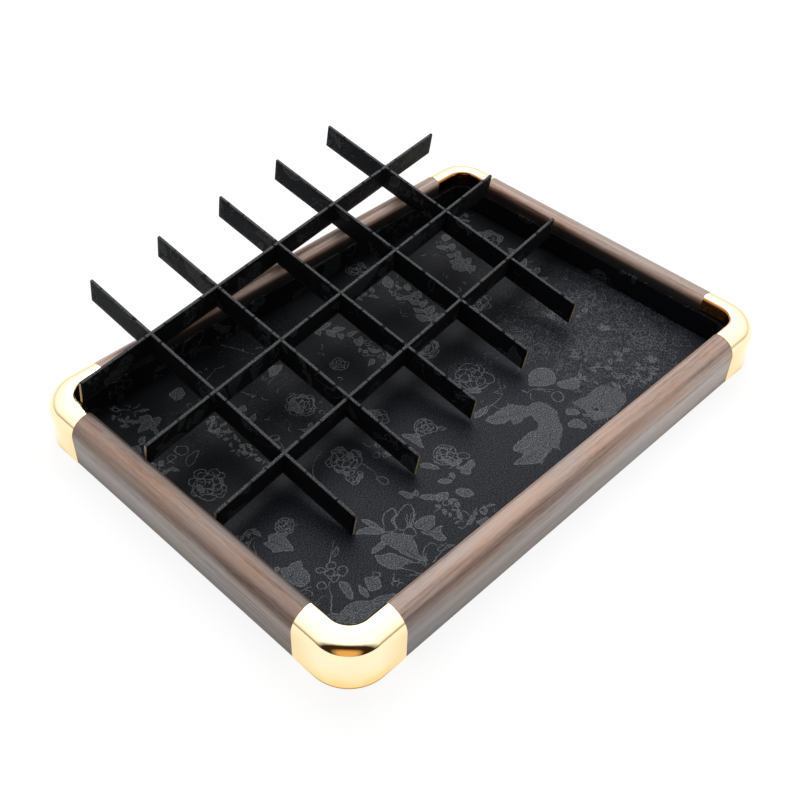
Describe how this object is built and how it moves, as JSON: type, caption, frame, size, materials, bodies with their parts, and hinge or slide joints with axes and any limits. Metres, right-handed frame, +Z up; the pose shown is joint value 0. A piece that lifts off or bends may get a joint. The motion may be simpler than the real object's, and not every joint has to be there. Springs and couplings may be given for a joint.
{
  "type": "divided glasses organizer tray",
  "caption": "Shallow rectangular display tray with domed wood-grain rails, gold corner caps and brocade lining; its egg-crate divider grid is lifted out and leans on the back rail.",
  "frame": {"origin": "centre of the tray's flat underside, on the surface it stands on", "axes": "+X along the long side, +Y along the short side from the open front to the back rail that the grid leans on, +Z up"},
  "size_m": [0.35, 0.308, 0.0567],
  "materials": {
    "wood_grain_rail": "walnut wood-grain film, satin",
    "gold": "polished, gold plated",
    "felt": "matt felt",
    "base_board": "plain fibreboard",
    "brocade": "black woven brocade with grey leaves and outlined peonies",
    "greyboard": "raw brown-grey board"
  },
  "bodies": {
    "tray": {"back_left_cap": "gold", "back_liner_board": "greyboard", "back_liner_cloth": "brocade", "back_rail": "wood_grain_rail", "back_right_cap": "gold", "base_board": "base_board", "floor_board": "greyboard", "floor_cloth": "brocade", "front_left_cap": "gold", "front_liner_board": "greyboard", "front_liner_cloth": "brocade", "front_rail": "wood_grain_rail", "front_right_cap": "gold", "left_liner_board": "greyboard", "left_liner_cloth": "brocade", "left_rail": "wood_grain_rail", "right_liner_board": "greyboard", "right_liner_cloth": "brocade", "right_rail": "wood_grain_rail", "underside_felt": "felt"},
    "short_dividers": {"short_divider_1_board": "greyboard", "short_divider_1_cloth": "brocade", "short_divider_2_board": "greyboard", "short_divider_2_cloth": "brocade", "short_divider_3_board": "greyboard", "short_divider_3_cloth": "brocade", "short_divider_4_board": "greyboard", "short_divider_4_cloth": "brocade", "short_divider_5_board": "greyboard", "short_divider_5_cloth": "brocade"},
    "long_divider_1": {"long_divider_1_board": "greyboard", "long_divider_1_cloth": "brocade"},
    "long_divider_2": {"long_divider_2_board": "greyboard", "long_divider_2_cloth": "brocade"},
    "long_divider_3": {"long_divider_3_board": "greyboard", "long_divider_3_cloth": "brocade"}
  },
  "joints": [
    {"name": "grid_lift", "type": "slide", "parent": "tray", "child": "short_dividers", "axis": [0, 0, 1], "range_m": [0, 0.12]},
    {"name": "long_divider_1_lift", "type": "slide", "parent": "short_dividers", "child": "long_divider_1", "axis": [0, -0.1532, 0.9882], "range_m": [0, 0.03]},
    {"name": "long_divider_2_lift", "type": "slide", "parent": "short_dividers", "child": "long_divider_2", "axis": [0, -0.1532, 0.9882], "range_m": [0, 0.03]},
    {"name": "long_divider_3_lift", "type": "slide", "parent": "short_dividers", "child": "long_divider_3", "axis": [0, -0.1532, 0.9882], "range_m": [0, 0.03]}
  ]
}
